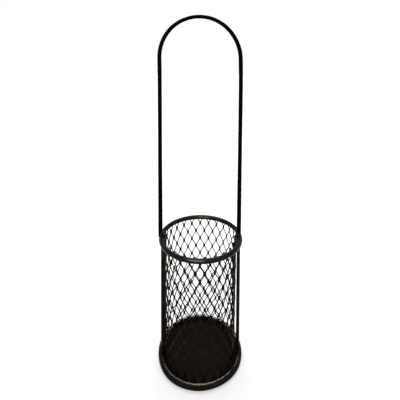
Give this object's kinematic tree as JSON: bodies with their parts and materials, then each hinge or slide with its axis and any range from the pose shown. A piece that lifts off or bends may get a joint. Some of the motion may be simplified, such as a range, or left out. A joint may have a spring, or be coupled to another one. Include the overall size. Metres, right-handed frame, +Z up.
{
  "type": "mesh bottle carrier",
  "caption": "Tall bottle carrier in black painted iron: an expanded metal sleeve between two rod rings on a round base plate, with a high hairpin loop to carry it by.",
  "frame": {"origin": "on the floor at the middle of the base ring", "axes": "+Z up along the sleeve and the carrying loop, +X across to the right leg of the loop and the sleeve's seam, -Y the front"},
  "size_m": [0.1042, 0.1042, 0.4113],
  "materials": {
    "rod": "black satin paint on round iron rod",
    "mesh": "black satin paint on raised expanded metal",
    "plate": "black satin paint on pressed sheet"
  },
  "bodies": {
    "root": {"base_ring": "rod", "base_plate": "plate", "upright_left": "rod", "upright_right": "rod", "mesh_sleeve": "mesh", "top_ring": "rod", "handle_loop": "rod"}
  },
  "joints": []
}
